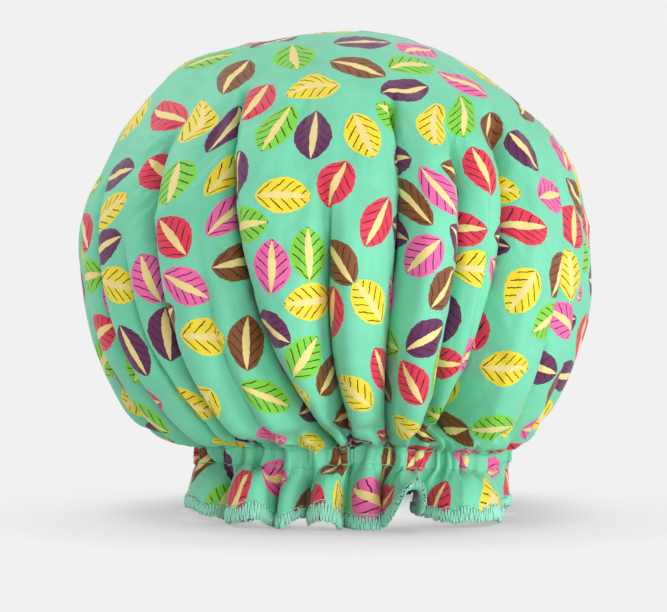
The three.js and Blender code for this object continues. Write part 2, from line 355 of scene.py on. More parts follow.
# Rings from the gathered neck to the hem line, hanging down by what is left of the cloth's length
def ruffle_rings(arcs, phi, neck_s, neck, hem_turn, hem_radius):
    neck_r = np.hypot(neck[:, 0], neck[:, 1])
    turn = np.interp(phi, PHI, hem_turn, period=TAU)
    reach = np.interp(phi, PHI, hem_radius, period=TAU) - neck_r
    step = (neck[:, 2] + HEM_SPARE) / len(arcs)
    sides, drops = [neck[:, :2]], [np.zeros(len(phi))]
    for s in arcs:
        share = 1 - (1 - (s - neck_s) / (TOTAL - neck_s)) ** FLUTE_ONSET
        angle, radius = phi + share * turn, neck_r + share * reach
        sides.append(around(radius, angle))
        across = np.linalg.norm(sides[-1] - sides[-2], axis=1)
        drops.append(drops[-1] + np.sqrt(np.maximum(step ** 2 - across ** 2, (LEAST_DROP * step) ** 2)))
    hem = FLOOR_GAP + LIFT_KEPT * np.maximum(neck[:, 2] - drops[-1] - FLOOR_GAP, 0)
    for azimuth, spread, rise in HEM_LIFTS:
        away = np.degrees(wrapped(phi + turn - math.radians(azimuth)))
        hem = hem + rise * bell(away, spread)
    scale = (neck[:, 2] - hem) / drops[-1]
    return [np.column_stack([side, neck[:, 2] - drop * scale]) for side, drop in zip(sides[1:], drops[1:])]


# From this height over the channel down, columns keep their evened shares of the ring, in limited steps
SHARE_ABOVE = 40.0
SHARE_SPREAD = 0.1
SHARE_ROUNDS = 8
SHARE_STEP = (0.7, 1.4)
SHARE_LIMITS = (0.5, 2)
DEEPEST_FOLD = 90.0
HALVINGS = 30


# Presses a wave into a ring until the ring has its cloth's length, and each part of it the share given
def pressed(radius, wave, target, share):
    local = np.ones(FINE)
    for _ in range(1 if share is None else SHARE_ROUNDS):
        low, high = 0.0, DEEPEST_FOLD
        for _ in range(HALVINGS):
            depth = 0.5 * (low + high)
            r = radius - depth * wave * local
            x, y = r * np.sin(PHI), -r * np.cos(PHI)
            steps = np.hypot(np.diff(x, append=x[0]), np.diff(y, append=y[0]))
            if steps.sum() < target:
                low = depth
            else:
                high = depth
        if share is not None:
            excess = np.clip(share / evened(steps / steps.sum(), SHARE_SPREAD), *SHARE_STEP)
            local = np.clip(evened(local * excess, 0.5 * SHARE_SPREAD), *SHARE_LIMITS)
    return r, running(steps), evened(steps / steps.sum(), SHARE_SPREAD)


# The channel lies higher in front, and wavers by waves with a height, a count round the neck and a phase
FRONT_LIFT = 6.0
FRONT_REACH = 0.9
NECK_WAVES = [(1.0, 2, 3.6), (0.9, 5, 0.5), (0.5, 9, 1.4)]


def neck_waver(angle):
    height = FRONT_LIFT * bell(wrapped(angle), FRONT_REACH)
    for rise, count, phase in NECK_WAVES:
        height = height + rise * np.sin(count * angle + phase)
    return height


def columns_at(s):
    for limit, count in ZONES:
        if s <= limit:
            return count


def ring_length(points):
    return np.linalg.norm(np.diff(points, axis=0, append=points[:1])[:, :2], axis=1).sum()


# Grows from 0 to 1 over a run that starts at a reach above the channel
def towards_channel(s, reach, run):
    return grown(s, S_UPPER - reach, run)


# The channel's puckers: count, unevenness, reach and what adds to them; the lobes' droop and the waver
PUCKERS = 44
PUCKER_SPREAD = 0.7
PUCKER_REACH = 32
LOWER_SHARE = 0.4
FOLD_SHARE = 0.5
LOBE_DROOP = 1.0
DROOP_BEGINS = (45, 30)
DROOP_ENDS = (12, 12)
WAVER_REACH = 40


# The folded cap before it settles: each ring's arc from the top, its points and its cloth's length
def seeded_rings():
    rng = np.random.default_rng(SEED)
    rows = valleys(rng)
    ripple = ripples(rng)
    upper_puckers = uneven_wave(rng, PUCKERS, PUCKER_SPREAD)
    lower_puckers = uneven_wave(rng, PUCKERS, PUCKER_SPREAD)
    hem_turn, hem_radius = hem_line(rng)
    rings = []
    share = None
    all_arcs = np.linspace(0, TOTAL, int(round(TOTAL / RING_STEP)) + 1)[1:]
    for s in all_arcs[all_arcs <= S_LOWER]:
        count = columns_at(s)
        r, z = on_profile(s)
        into = towards_channel(s, PUCKER_REACH, PUCKER_REACH)
        down = grown(s, S_UPPER, S_LOWER - S_UPPER)
        wave = crown_wave(s, z, rows, ripple)
        wave = wave / max(wave.max(), TINY)
        puckers = upper_puckers + (LOWER_SHARE * down) * lower_puckers + FOLD_SHARE * wave
        wave = wave * (1 - into) + puckers * into
        rim, arc, spread = pressed(np.full(FINE, r), wave, TAU * r * fullness(s), share)
        if S_UPPER - SHARE_ABOVE < s < S_UPPER - SHARE_ABOVE + RING_STEP:
            share = spread
        low = towards_channel(s, *DROOP_BEGINS) * (1 - towards_channel(s, *DROOP_ENDS))
        height = z - LOBE_DROOP * low * (1 - np.clip(wave, 0, 1))
        height = height + neck_waver(PHI) * towards_channel(s, WAVER_REACH, WAVER_REACH)
        phi = np.interp(np.arange(count) / count, arc / arc[-1], np.append(PHI, TAU))
        rr = np.interp(phi, PHI, rim, period=TAU)
        zz = np.interp(phi, PHI, height, period=TAU)
        points = np.column_stack([around(rr, phi), zz])
        rings.append((s, points, ring_length(points)))
    below = all_arcs[all_arcs > S_LOWER]
    for s, points in zip(below, ruffle_rings(below, phi, s, points, hem_turn, hem_radius)):
        rings.append((s, points, ring_length(points)))
    return rings


# The most that a ring of the stand widens or narrows, for each length of cloth
MOST_SLOPE = 0.999


# A round stand for each ring, whose edges have the cloth's own lengths
def rest_rings(rings):
    rest = []
    radius, height, last = 0.0, 0.0, 0.0
    for s, points, length in rings:
        step = s - last
        grow = np.clip(length / TAU - radius, -step * MOST_SLOPE, step * MOST_SLOPE)
        radius += grow
        height -= math.sqrt(step * step - grow * grow)
        angle = np.arange(len(points)) / len(points) * TAU
        rest.append(np.column_stack([around(radius, angle), np.full(len(points), height)]))
        last = s
    return rest


# Four-cornered faces between two rows of points, p and q, at two places in each, a and b
def quads_between(p, q, a, b):
    return np.stack([p + a, q + a, q + b, p + b], -1).reshape(-1, 4).tolist()


# Faces between rings of points round one top point, where a ring may have twice the columns of the last
def polar_faces(counts):
    faces = []
    first = 1
    for k in range(counts[0]):
        faces.append((0, first + k, first + (k + 1) % counts[0]))
    for here, below in zip(counts, counts[1:]):
        under = first + here
        a = np.arange(here)
        a1 = (a + 1) % here
        if here == below:
            faces += quads_between(first, under, a, a1)
        else:
            odd = under + 2 * a + 1
            tris = np.stack([first + a, under + 2 * a, odd], 1)
            quads = np.stack([first + a, odd, under + (2 * a + 2) % below, first + a1], 1)
            faces += tris.tolist() + quads.tolist()
        first = under
    return faces


def mesh_object(name, points, faces):
    mesh = bpy.data.meshes.new(name)
    mesh.from_pydata(np.asarray(points).tolist(), [], faces)
    mesh.update()
    obj = bpy.data.objects.new(name, mesh)
    bpy.context.scene.collection.objects.link(obj)
    return obj


# The cloth simulation: its scale, its frames, how far above the channel the cloth is held, and its settings
SIM_SCALE = 10 * MM
SIM_FRAMES = 20
HELD_ABOVE = 2
CLOTH = {
    "quality": 6,
    "mass": 0.02,
    "tension_stiffness": 30,
    "compression_stiffness": 30,
    "shear_stiffness": 10,
    "bending_model": "ANGULAR",
    "bending_stiffness": 0.1,
    "tension_damping": 5,
    "compression_damping": 5,
    "shear_damping": 5,
    "bending_damping": 0.5,
    "air_damping": 2,
    "pin_stiffness": 1,
    "use_pressure": True,
    "uniform_pressure_force": 0.6,
}
GRAVITY_SHARE = 0.5


# Blows the folded cloth up from inside, with the channel held, and returns where its points settle
def settled(points, rest, faces, arcs):
    obj = mesh_object("settling", points * SIM_SCALE, faces)
    obj.shape_key_add(name="Basis")
    key = obj.shape_key_add(name="rest")
    key.data.foreach_set("co", (rest * SIM_SCALE).ravel())
    pin = obj.vertex_groups.new(name="pin")
    pin.add(np.flatnonzero(arcs > S_UPPER - HELD_ABOVE).tolist(), 1.0, "REPLACE")
    crown = obj.vertex_groups.new(name="crown")
    crown.add(np.flatnonzero(arcs < S_UPPER).tolist(), 1.0, "REPLACE")
    cloth = obj.modifiers.new("cloth", "CLOTH")
    for name, value in CLOTH.items():
        setattr(cloth.settings, name, value)
    cloth.settings.vertex_group_mass = "pin"
    cloth.settings.vertex_group_pressure = "crown"
    cloth.settings.rest_shape_key = key
    cloth.settings.effector_weights.gravity = GRAVITY_SHARE
    cloth.point_cache.frame_start = 1
    cloth.point_cache.frame_end = SIM_FRAMES
    for step in range(1, SIM_FRAMES + 1):
        bpy.context.scene.frame_set(step)
    done = obj.evaluated_get(bpy.context.evaluated_depsgraph_get()).to_mesh()
    result = np.empty(len(done.vertices) * 3)
    done.vertices.foreach_get("co", result)
    mesh = obj.data
    bpy.data.objects.remove(obj)
    bpy.data.meshes.remove(mesh)
    bpy.context.scene.frame_set(1)
    return result.reshape(-1, 3) / SIM_SCALE


# Facets of the crown: each one's outward azimuth and elevation and its distance; how softly they cut
MIDDLE = np.array([0, 0, WIDEST_HEIGHT])
FACETS = [(-90, 78.7, 103.2), (-90, 42.2, 111.0), (-90, 24.0, 112.0)]
FACET_SOFTNESS = 1.5
FACET_FACING = 0.05
FACET_REACH = 4
EXPONENT_LIMIT = 40

# Fuller and flatter places of the crown: azimuth, elevation, spread in degrees, and how far each one rises
SWELLS = [
    (-90, 53, 22, 5.0),
    (90, 34, 20, 3.0),
    (-90, 76, 20, -2.0),
    (90, -35, 25, -2.5),
    (-90, -14, 20, -2.0),
    (-90, 12, 10, 3.0),
    (-90, 66, 10, -1.5),
    (90, 22, 10, 2.0),
    (90, 43, 10, -2.0),
    (90, -13, 8, 2.5),
    (90, -38, 16, -1.5),
    (-90, -42, 16, 3.5),
    (0, -45, 16, -6.0),
]


def outward(azimuth, elevation):
    a, e = math.radians(azimuth), math.radians(elevation)
    return np.array([math.sin(a) * math.cos(e), -math.cos(a) * math.cos(e), math.sin(e)])


# The reach that the crests should have from the middle, in the directions given
def target_reach(direction):
    elevation = np.arctan2(direction[:, 2], np.hypot(direction[:, 0], direction[:, 1]))
    radius = PROFILE[:CROWN_END, 0]
    rise = PROFILE[:CROWN_END, 1] - WIDEST_HEIGHT
    reach = np.interp(-elevation, -np.arctan2(rise, radius), np.hypot(rise, radius))
    for azimuth, tilt, spread, rise in SWELLS:
        away = np.degrees(np.arccos(np.clip(direction @ outward(azimuth, tilt), -1, 1)))
        reach = reach + rise * bell(away, spread)
    for azimuth, tilt, distance in FACETS:
        cut = distance / np.maximum(direction @ outward(azimuth, tilt), FACET_FACING)
        gap = np.clip((cut - reach) / (2 * FACET_SOFTNESS), -EXPONENT_LIMIT, EXPONENT_LIMIT)
        softened = reach - FACET_SOFTNESS * np.log1p(np.exp(-2 * gap))
        reach = np.where(cut < FACET_REACH * reach, softened, reach)
    return reach


# Crests are measured in bands by sectors, as a percentile of the points there or of the whole band
BANDS = 32
SECTORS = 12
SECTOR_OVERLAP = 1.5
CREST_PERCENT = 85
FEWEST_POINTS = 5
EVENING_ROUNDS = 2
LAST_BAND = BANDS - 1.001


# Evens three neighbours
def averaged(before, here, after):
    return 0.25 * before + 0.5 * here + 0.25 * after


# The crests' reach from the middle
def crest_grid(reach, elevation, azimuth, edges):
    grid = np.empty((BANDS, SECTORS))
    half_sector = SECTOR_OVERLAP * math.pi / SECTORS
    for band in range(BANDS):
        level = (elevation >= edges[band]) & (elevation <= edges[band + 1])
        for sector in range(SECTORS):
            near = level & (np.abs(wrapped(azimuth - sector * TAU / SECTORS)) < half_sector)
            found = near if near.sum() > FEWEST_POINTS else level
            grid[band, sector] = np.percentile(reach[found], CREST_PERCENT) if found.any() else np.nan
    known = ~np.isnan(grid[:, 0])
    rows = np.arange(BANDS)
    grid = np.stack([np.interp(rows, rows[known], grid[known, k]) for k in range(SECTORS)], 1)
    for _ in range(EVENING_ROUNDS):
        padded = np.pad(grid, ((1, 1), (0, 0)), mode="edge")
        grid = averaged(padded[:-2], grid, padded[2:])
    return averaged(np.roll(grid, 1, axis=1), grid, np.roll(grid, -1, axis=1))


# Values between a grid's rows and its columns, which close a ring; u and v say how far between
def blended(grid, i, j, u, v):
    j0, j1 = j % grid.shape[1], (j + 1) % grid.shape[1]
    near = grid[i, j0] * (1 - v) + grid[i, j1] * v
    far = grid[i + 1, j0] * (1 - v) + grid[i + 1, j1] * v
    return near * (1 - u) + far * u


# How far above the channel the crown is measured, where its fit fades out, and where its lean begins
MEASURED_ABOVE = 3
FIT_FADES = (30, 25)
LEAN_REACH = 90


# Scales the crown's reach so that its crests lie on the cap's outline
def fitted(points, arcs):
    crown = arcs < S_UPPER - MEASURED_ABOVE
    offset = points - MIDDLE
    reach = np.linalg.norm(offset, axis=1)
    direction = offset / np.maximum(reach, TINY)[:, None]
    elevation = np.arcsin(np.clip(direction[:, 2], -1, 1))
    azimuth = azimuths(direction)
    edges = np.linspace(elevation[crown].min(), math.pi / 2, BANDS + 1)
    grid = crest_grid(reach[crown], elevation[crown], azimuth[crown], edges)
    band = np.clip((elevation - edges[0]) / (edges[1] - edges[0]) - 0.5, 0, LAST_BAND)
    sector = (azimuth % TAU) / TAU * SECTORS
    i, j = np.floor(band).astype(int), np.floor(sector).astype(int)
    scale = target_reach(direction) / blended(grid, i, j, band - i, smooth(sector - j))
    scale = 1 + (scale - 1) * (1 - towards_channel(arcs, *FIT_FADES))
    moved = MIDDLE + offset * scale[:, None]
    moved[:, 0] += CROWN_X + (NECK_X - CROWN_X) * towards_channel(arcs, LEAN_REACH, LEAN_REACH)
    return moved


# Cubic through four neighbours at equal spacing
def cubic(a, b, c, d, t):
    return b + 0.5 * t * (c - a + t * (2 * a - 5 * b + 4 * c - d + t * (3 * (b - c) + d - a)))


def fine_ring(ring):
    n = len(ring)
    place = np.arange(FINE_COLUMNS) * n / FINE_COLUMNS
    k = np.floor(place).astype(int)
    t = (place - k)[:, None]
    return cubic(ring[(k - 1) % n], ring[k % n], ring[(k + 1) % n], ring[(k + 2) % n], t)


# The cloth as a fine grid: rows at even arcs from the top to the hem, columns round the cap
def fine_grid(points, counts):
    split = np.split(points[1:], np.cumsum(counts)[:-1])
    coarse = np.stack([np.repeat(points[:1], FINE_COLUMNS, axis=0)] + [fine_ring(r) for r in split])
    last = len(coarse) - 1
    place = row_arc / TOTAL * last
    k = np.minimum(np.floor(place).astype(int), last - 1)
    t = (place - k)[:, None, None]
    return cubic(coarse[np.maximum(k - 1, 0)], coarse[k], coarse[k + 1], coarse[np.minimum(k + 2, last)], t)


rings = seeded_rings()
counts = [len(p) for _, p, _ in rings]
arcs = np.concatenate([[0.0]] + [np.full(len(p), s) for s, p, _ in rings])
top = np.array([[0, 0, CAP_HEIGHT]])
points = np.vstack([top] + [p for _, p, _ in rings])
rest = np.vstack([np.zeros((1, 3))] + rest_rings(rings))
points = settled(points, rest, polar_faces(counts), arcs)
points = fitted(points, arcs)

# The fine grid's rows: their arcs from the top, their cloth's lengths and the columns that their mesh has
row_arc = np.linspace(0, TOTAL, int(round(TOTAL / FINE_STEP)) + 1)
row_length = np.interp(row_arc, [0.0] + [s for s, _, _ in rings], [0.0] + [length for _, _, length in rings])
fine_counts = [2 * columns_at(s) for s in row_arc[1:]]
fine_faces = polar_faces(fine_counts)
column_angle = np.arange(FINE_COLUMNS) / FINE_COLUMNS * TAU


# Outward directions of the grid's points
def grid_normals(grid):
    across = np.roll(grid, -1, axis=1) - np.roll(grid, 1, axis=1)
    down = np.gradient(grid, axis=0)
    normal = np.cross(down, across)
    normal[0] = (0, 0, 1)
    return unit(normal)


# The points of a grid that its mesh uses, with fewer columns near the top
def thinned(grid):
    return np.vstack([grid[0, :1]] + [grid[j + 1, ::FINE_COLUMNS // n] for j, n in enumerate(fine_counts)])


# Dents below the evened grid are deepened by this gain between two arcs, and shallow ones are spared
FOLD_GAIN = 1.0
FOLD_SPREAD = 0.12
FOLD_SOFTNESS = 1.0
GAIN_BEGINS = (70, 40)
GAIN_FADES = (40, 30)


def deepened(grid):
    offset = grid - MIDDLE
    reach = np.linalg.norm(offset, axis=2)
    dent = np.maximum(evened(reach, FOLD_SPREAD) - reach, 0)
    dent = dent * dent / (dent + FOLD_SOFTNESS)
    share = grown(row_arc, *GAIN_BEGINS) * (1 - towards_channel(row_arc, *GAIN_FADES))
    return MIDDLE + offset * (1 - FOLD_GAIN * share[:, None] * dent / np.maximum(reach, 1.0))[:, :, None]


# Creases pressed into the crown: count, place, half length, width, depth, tilt, inward share and bend
CREASES = 150
CREASE_ARCS = (25, S_UPPER - 20)
CREASE_REACH = (10, 38)
CREASE_WIDTH = (1.7, 4.8)
CREASE_DEPTH = (0.3, 1.4)
CREASE_TILT = 0.6
CREASE_INWARD = 0.7
CREASE_BEND = 0.006
BEND_TURNS = 7
CREASE_SHARPNESS = 1.4


def creased(grid):
    rng = np.random.default_rng(SEED + 60)
    depth = np.zeros(grid.shape[:2])
    for _ in range(CREASES):
        arc, turn = rng.uniform(*CREASE_ARCS), rng.uniform(0, TAU)
        tilt = rng.normal(0, CREASE_TILT)
        reach, width = rng.uniform(*CREASE_REACH), rng.uniform(*CREASE_WIDTH)
        deep = rng.uniform(*CREASE_DEPTH) * (1 if rng.uniform() < CREASE_INWARD else -1)
        girth = np.interp(arc, row_arc, row_length) / TAU
        x = wrapped(column_angle - turn)[None, :] * girth
        y = (row_arc - arc)[:, None]
        along = y * math.cos(tilt) + x * math.sin(tilt)
        across = x * math.cos(tilt) - y * math.sin(tilt)
        across = across + CREASE_BEND * along * along * math.sin(turn * BEND_TURNS)
        window = np.clip(1 - (along / reach) ** 2, 0, 1) ** 2
        depth += deep * window * np.exp(-np.abs(across / width) ** CREASE_SHARPNESS)
    return grid - grid_normals(grid) * depth[:, :, None]


# Fine puckers at the channel: count, depth, and reach above and below it; their sharpness and spread
FINE_PUCKERS = [(54, 2.8, 28, 14), (110, 1.6, 13, 6)]
PUCKER_SHARPNESS = 1.8
FINE_SPREAD = 0.6


def puckered(grid):
    rng = np.random.default_rng(SEED + 80)
    depth = np.zeros(grid.shape[:2])
    for count, deep, above, below in FINE_PUCKERS:
        wave = np.interp(column_angle, PHI, uneven_wave(rng, count, FINE_SPREAD), period=TAU)
        wave = wave ** PUCKER_SHARPNESS
        wave = wave - wave.mean()
        along = towards_channel(row_arc, above, above) * (1 - grown(row_arc, S_LOWER, below))
        depth += deep * along[:, None] * wave[None, :]
    return grid - grid_normals(grid) * depth[:, :, None]


# The cloth's least radius over the elastic, the room for its lap, and how far past the rows this holds
CHANNEL_LEAST = 65.2
LAP_ROOM = 1.8
LAP_SPREAD = 0.2
CHANNEL_MARGIN = 1


# The grid's offsets from the neck's axis, and its distances from that axis
def about_neck(grid):
    offset = grid[:, :, :2] - NECK_AXIS
    return offset, np.maximum(np.linalg.norm(offset, axis=2), 1.0)


# Keeps the channel's cloth off the elastic
def cleared(grid):
    offset, radius = about_neck(grid)
    behind = wrapped(azimuths(offset) - math.pi)
    least = CHANNEL_LEAST + LAP_ROOM * bell(behind, LAP_SPREAD)
    channel = (row_arc > S_UPPER - CHANNEL_MARGIN) & (row_arc < S_LOWER + CHANNEL_MARGIN)
    grow = np.where(channel[:, None], np.maximum(least / radius, 1.0), 1.0)
    moved = grid.copy()
    moved[:, :, :2] = NECK_AXIS + offset * grow[:, :, None]
    return moved


# The hem's turned-up edge: azimuth about the neck, spread, evenness, length of cloth and angle
TURNED_AT = 14.5
TURNED_SPREAD = 4.8
TURNED_EVENNESS = 4
TURNED_LENGTH = 14.0
TURNED_ANGLE = 125


# Rolls the ruffle's edge outward and up at one place in front
def turned_up(grid):
    hem = grid[-1, :, :2] - NECK_AXIS
    azimuth = azimuths(hem)
    outward_way = unit(np.column_stack([hem, np.zeros(len(hem))]))
    share = np.exp(-((np.degrees(azimuth) - TURNED_AT) / TURNED_SPREAD) ** TURNED_EVENNESS)
    moved = grid.copy()
    first = int(np.searchsorted(row_arc, TOTAL - TURNED_LENGTH))
    for row in range(first, len(grid)):
        step = grid[row] - grid[row - 1]
        length = np.linalg.norm(step, axis=1)[:, None]
        turn = np.radians(TURNED_ANGLE) * share * (row - first + 1) / (len(grid) - first)
        rolled = step * np.cos(turn)[:, None] + outward_way * length * np.sin(turn)[:, None]
        rolled *= length / np.maximum(np.linalg.norm(rolled, axis=1), TINY)[:, None]
        moved[row] = moved[row - 1] + rolled
    return moved


# The film lies this far inside the cloth, and in the channel inside the elastic, up to its edges
LAYER_GAP = 0.6
CHANNEL_EDGE = 1.2
ELASTIC_RADIUS = 63.3


def lined(grid, normal):
    inside = smooth((row_arc - S_UPPER) / CHANNEL_EDGE) * smooth((S_LOWER - row_arc) / CHANNEL_EDGE)
    layer = grid - normal * LAYER_GAP
    offset, radius = about_neck(layer)
    pulled = 1 + ((ELASTIC_RADIUS - LAYER_GAP) / radius - 1) * inside[:, None]
    layer[:, :, :2] = NECK_AXIS + offset * pulled[:, :, None]
    return layer


cloth = turned_up(cleared(puckered(creased(deepened(fine_grid(points, counts))))))
normals = grid_normals(cloth)
film = lined(cloth, normals)
JUST_OVER_ONE = 1.000001


# The grid's value at arcs from the top and places round the cap, counted in columns
def on_grid(grid, arc, place):
    row = np.clip(arc / TOTAL * (len(grid) - 1), 0, len(grid) - JUST_OVER_ONE)
    i, j = np.floor(row).astype(int), np.floor(place).astype(int)
    return blended(grid, i, j, (row - i)[..., None], (place - j)[..., None])


# Round threads along paths, an array of paths by points; ups are the directions off the cloth there
def threads(name, paths, ups, radius, sides=6, closed=False):
    if closed:
        along = np.roll(paths, -1, axis=1) - np.roll(paths, 1, axis=1)
    else:
        along = np.gradient(paths, axis=1)
    along = unit(along)
    ups = unit(ups - along * (ups * along).sum(axis=2)[:, :, None])
    side = np.cross(along, ups)
    turn = np.arange(sides) / sides * TAU
    ring = ups[:, :, None] * np.cos(turn)[:, None] + side[:, :, None] * np.sin(turn)[:, None]
    points = paths[:, :, None] + ring * radius
    count, length = paths.shape[:2]
    first = (np.arange(count) * length * sides)[:, None, None]
    step = np.arange(length if closed else length - 1)[None, :, None]
    after = (step + 1) % length
    a = np.arange(sides)[None, None, :]
    b = (a + 1) % sides
    quads = quads_between(first + step * sides, first + after * sides, a, b)
    if not closed:
        head = first[:, 0] + np.arange(sides)[None, :]
        tail = first[:, 0] + (length - 1) * sides + np.arange(sides)[None, ::-1]
        quads += head.tolist() + tail.tolist()
    obj = mesh_object(name, points.reshape(-1, 3) * MM, quads)
    obj.data.shade_smooth()
    return obj


# Stitches: thread, length, shown share, points, wobble, and the radii that one stands up and sinks in
THREAD_RADIUS = 0.22
STITCH_LENGTH = 3.0
STITCH_SHOWS = (0.04, 0.96)
STITCH_POINTS = 7
STITCH_WOBBLE = 0.25
WOBBLE_TURN = 2.4
STITCH_RISE = 1.5
STITCH_SINK = 0.7


# A row of separate stitches along the cloth, each dipping into it at both ends
def stitch_row(name, grid, side, arc):
    count = int(round(np.interp(arc, row_arc, row_length) / STITCH_LENGTH))
    t = np.linspace(*STITCH_SHOWS, STITCH_POINTS)
    place = (np.arange(count)[:, None] + t[None, :]) / count * FINE_COLUMNS
    wobble = STITCH_WOBBLE * np.sin(np.arange(count) * WOBBLE_TURN)[:, None]
    arcs = np.full_like(place, arc) + wobble
    up = on_grid(normals, arcs, place) * side
    lift = THREAD_RADIUS * (STITCH_RISE * np.sqrt(np.sin(math.pi * t)) - STITCH_SINK)
    path = on_grid(grid, arcs, place) + up * lift[None, :, None]
    return threads(name, path, up, THREAD_RADIUS)


# The channel's rows: needle thread on the cloth and bobbin thread on the film
sewn = {}
for layer, grid, side in (("needle", cloth, 1), ("bobbin", film, -1)):
    for row, arc in (("upper", S_UPPER), ("lower", S_LOWER)):
        name = layer + "_stitches_" + row
        sewn[name] = stitch_row(name, grid, side, arc)

# Overlock: looper threads that zigzag unevenly over both faces of the hem and meet round its edge
OVERLOCK_WIDTH = 5.0
OVERLOCK_PITCH = 1.45
LOOPER_RADIUS = 0.36
LOOP_POINTS = 10
LOOPER_SIDES = 5
LOOP_JITTER = 0.35
LOOP_BEYOND = 0.5
LOOP_UNEVEN = (-0.4, 0.5)
LOOP_SHORT = 1.4
LOOP_ARCH = 0.5
EDGE_ROUND = 0.4
EDGE_STRIP = 2
FLOOR_CLEAR = 0.05


def looper(grid, side, shift):
    rng = np.random.default_rng(SEED + 20)
    steps = np.linalg.norm(np.roll(cloth[-1], -1, axis=0) - cloth[-1], axis=1)
    along = running(steps)
    count = int(round(along[-1] / OVERLOCK_PITCH))
    u = np.arange(count * LOOP_POINTS) / LOOP_POINTS
    jitter = np.repeat(rng.uniform(-LOOP_JITTER, LOOP_JITTER, count), LOOP_POINTS)
    wave = 0.5 + 0.5 * np.cos(TAU * u)
    share = (u + shift + jitter * (1 - wave)) / count % 1
    place = np.interp(share * along[-1], along, np.arange(FINE_COLUMNS + 1))
    beyond = LOOP_BEYOND + np.repeat(rng.uniform(*LOOP_UNEVEN, count), LOOP_POINTS)
    short = np.repeat(rng.uniform(0, LOOP_SHORT, count), LOOP_POINTS) * wave
    depth = (1 - wave) * (OVERLOCK_WIDTH + beyond) - OVERLOCK_WIDTH + short
    arc = TOTAL + np.minimum(depth, 0)
    up = on_grid(normals, arc, place) * side
    edge = np.full_like(arc, TOTAL)
    down = unit(on_grid(cloth, edge, place) - on_grid(cloth, edge - EDGE_STRIP, place))
    lift = LOOPER_RADIUS * (1 + LOOP_ARCH * np.sin(math.pi * wave))
    lift = lift * (1 - smooth((depth + EDGE_ROUND) / (2 * EDGE_ROUND)))
    path = on_grid(grid, arc, place) + up * lift[:, None] + down * np.maximum(depth, 0)[:, None]
    path[:, 2] = np.maximum(path[:, 2], LOOPER_RADIUS + FLOOR_CLEAR)
    return path, up


outer_path, outer_up = looper(cloth, 1, 0.0)
inner_path, inner_up = looper(film, -1, 0.5)
loops = threads("overlock_loops", np.stack([outer_path, inner_path]), np.stack([outer_up, inner_up]),
                LOOPER_RADIUS, LOOPER_SIDES, closed=True)
needle = stitch_row("overlock_needle", cloth, 1, TOTAL - OVERLOCK_WIDTH)

# Elastic: a ribbed tape, thinner at its edges, whose ends lap at the back, one climbing over the other
ELASTIC_THICKNESS = 1.2
ELASTIC_WIDTH = 6.0
ELASTIC_HEIGHT = 0.5 * (UPPER_ROW + LOWER_ROW)
ELASTIC_LAP = 16.0
LAP_CLIMB = 0.12
LAP_GAP = 0.15
ELASTIC_RIBS = 7
RIB_POINTS = 8
RIB_DEPTH = 0.2
EDGE_POINTS = 3
EDGE_SHARE = 0.3
TAPE_STEPS = 420


def elastic_place(turn):
    over = ELASTIC_LAP / ELASTIC_RADIUS
    angle = math.pi - over / 2 + turn * (TAU + over)
    lifted = smooth((turn * (TAU + over) - TAU + LAP_CLIMB) / LAP_CLIMB)
    return angle, ELASTIC_RADIUS + 0.5 * ELASTIC_THICKNESS + (ELASTIC_THICKNESS + LAP_GAP) * lifted


def elastic():
    across = RIB_POINTS * ELASTIC_RIBS
    angle, radius = elastic_place(np.linspace(0, 1, TAPE_STEPS))
    v = np.linspace(0, 1, across)
    ribs = np.abs(np.sin(math.pi * ELASTIC_RIBS * v))
    half = 0.5 * ELASTIC_THICKNESS * (1 - RIB_DEPTH + RIB_DEPTH * ribs)
    half = half * np.minimum(1, np.minimum(v, 1 - v) * across / EDGE_POINTS + EDGE_SHARE)
    heights = ELASTIC_HEIGHT + ELASTIC_WIDTH * (v - 0.5)
    loop_half = np.concatenate([half, -half[::-1]])
    loop_height = np.concatenate([heights, heights[::-1]])
    r = radius[:, None] + loop_half[None, :]
    points = np.stack([NECK_X + r * np.sin(angle)[:, None], -r * np.cos(angle)[:, None],
                       loop_height[None, :] + neck_waver(angle)[:, None]], -1)
    round_count = 2 * across
    i = np.arange(TAPE_STEPS - 1)[:, None]
    a = np.arange(round_count)[None, :]
    b = (a + 1) % round_count
    quads = quads_between(a, b, i * round_count, (i + 1) * round_count)
    end = (TAPE_STEPS - 1) * round_count
    for k in range(across - 1):
        quads.append((k + 1, k, round_count - 1 - k, round_count - 2 - k))
        quads.append((end + k, end + k + 1, end + round_count - 2 - k, end + round_count - 1 - k))
    obj = mesh_object("elastic_tape", points.reshape(-1, 3) * MM, quads)
    obj.data.shade_smooth()
    return obj


# The zigzag that closes the lap: points, strokes, the lap it leaves free and its share of the tape
ZIGZAG_POINTS = 220
ZIGZAG_STROKES = 9
ZIGZAG_MARGIN = 4
ZIGZAG_SHARE = 0.4


def lap_stitch():
    t = np.linspace(0, 1, ZIGZAG_POINTS)
    span = (ELASTIC_LAP - ZIGZAG_MARGIN) / ELASTIC_RADIUS
    angle = math.pi + span * (t - 0.5)
    r = ELASTIC_RADIUS + 2 * ELASTIC_THICKNESS + LAP_GAP + THREAD_RADIUS
    zig = np.abs((t * ZIGZAG_STROKES) % 2 - 1) * 2 - 1
    z = ELASTIC_HEIGHT + ZIGZAG_SHARE * ELASTIC_WIDTH * zig + neck_waver(angle)
    path = np.column_stack([NECK_AXIS + around(r, angle), z])[None]
    up = np.column_stack([around(1, angle), 0 * z])[None]
    return threads("elastic_lap_thread", path, up, THREAD_RADIUS)


tape = elastic()
lap = lap_stitch()

# Print: leaves strewn on the flat cloth with a least spacing, near ones in different tints where possible
LEAF_LENGTH = 25.0
LEAF_WIDTH = 17.5
LEAF_SPACING = 16.4
LEAF_TRIES = 24000
LEAF_COMPARED = 3
LEAF_NEAR = 1.6
LEAF_SEARCH = 26
TINT_COUNT = 6


